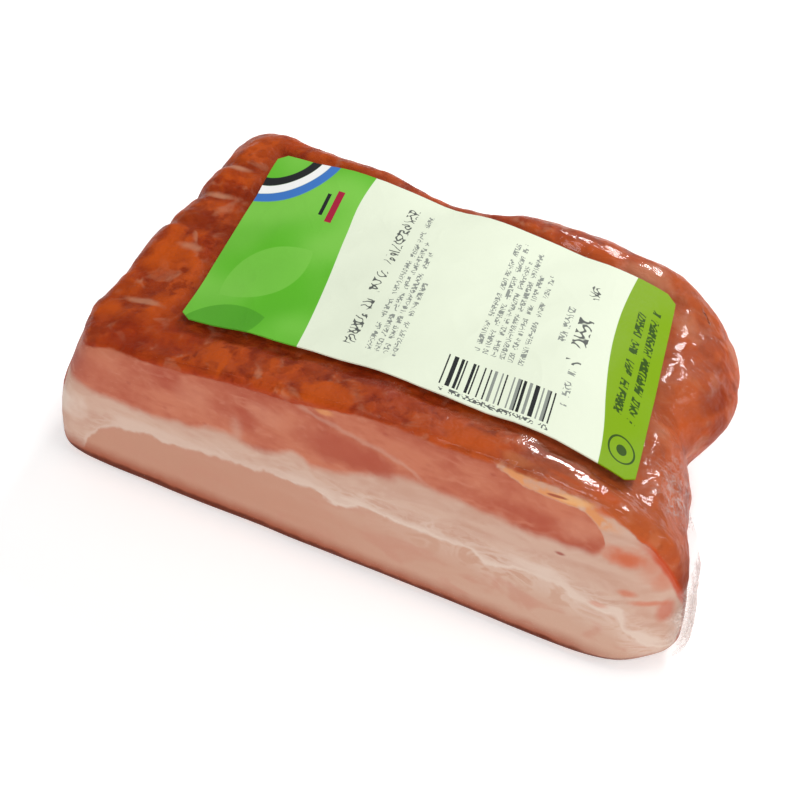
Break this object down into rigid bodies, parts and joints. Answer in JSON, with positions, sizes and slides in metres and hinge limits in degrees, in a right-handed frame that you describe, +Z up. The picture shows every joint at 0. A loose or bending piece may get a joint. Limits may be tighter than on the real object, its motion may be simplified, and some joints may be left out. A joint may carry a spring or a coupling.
{
  "type": "smoked pork belly",
  "caption": "Chunk of smoked pork belly, vacuum packed in clear film, lying on its rind with a paper label draped over its top.",
  "frame": {"origin": "centre of the bounding box in plan, on the table that the rind rests on", "axes": "+X along the long cut face towards the end with two lobes, +Y away from the cut face, +Z up from the rind to the label"},
  "size_m": [0.16, 0.0886, 0.0502],
  "materials": {
    "film_wrapped_meat": "tight clear film over red-brown smoked meat with a pink and cream cut face",
    "label_paper": "smooth coated paper, pale cream with green fields"
  },
  "bodies": {
    "root": {"vacuum_packed_belly": "film_wrapped_meat", "label": "label_paper"}
  },
  "joints": []
}
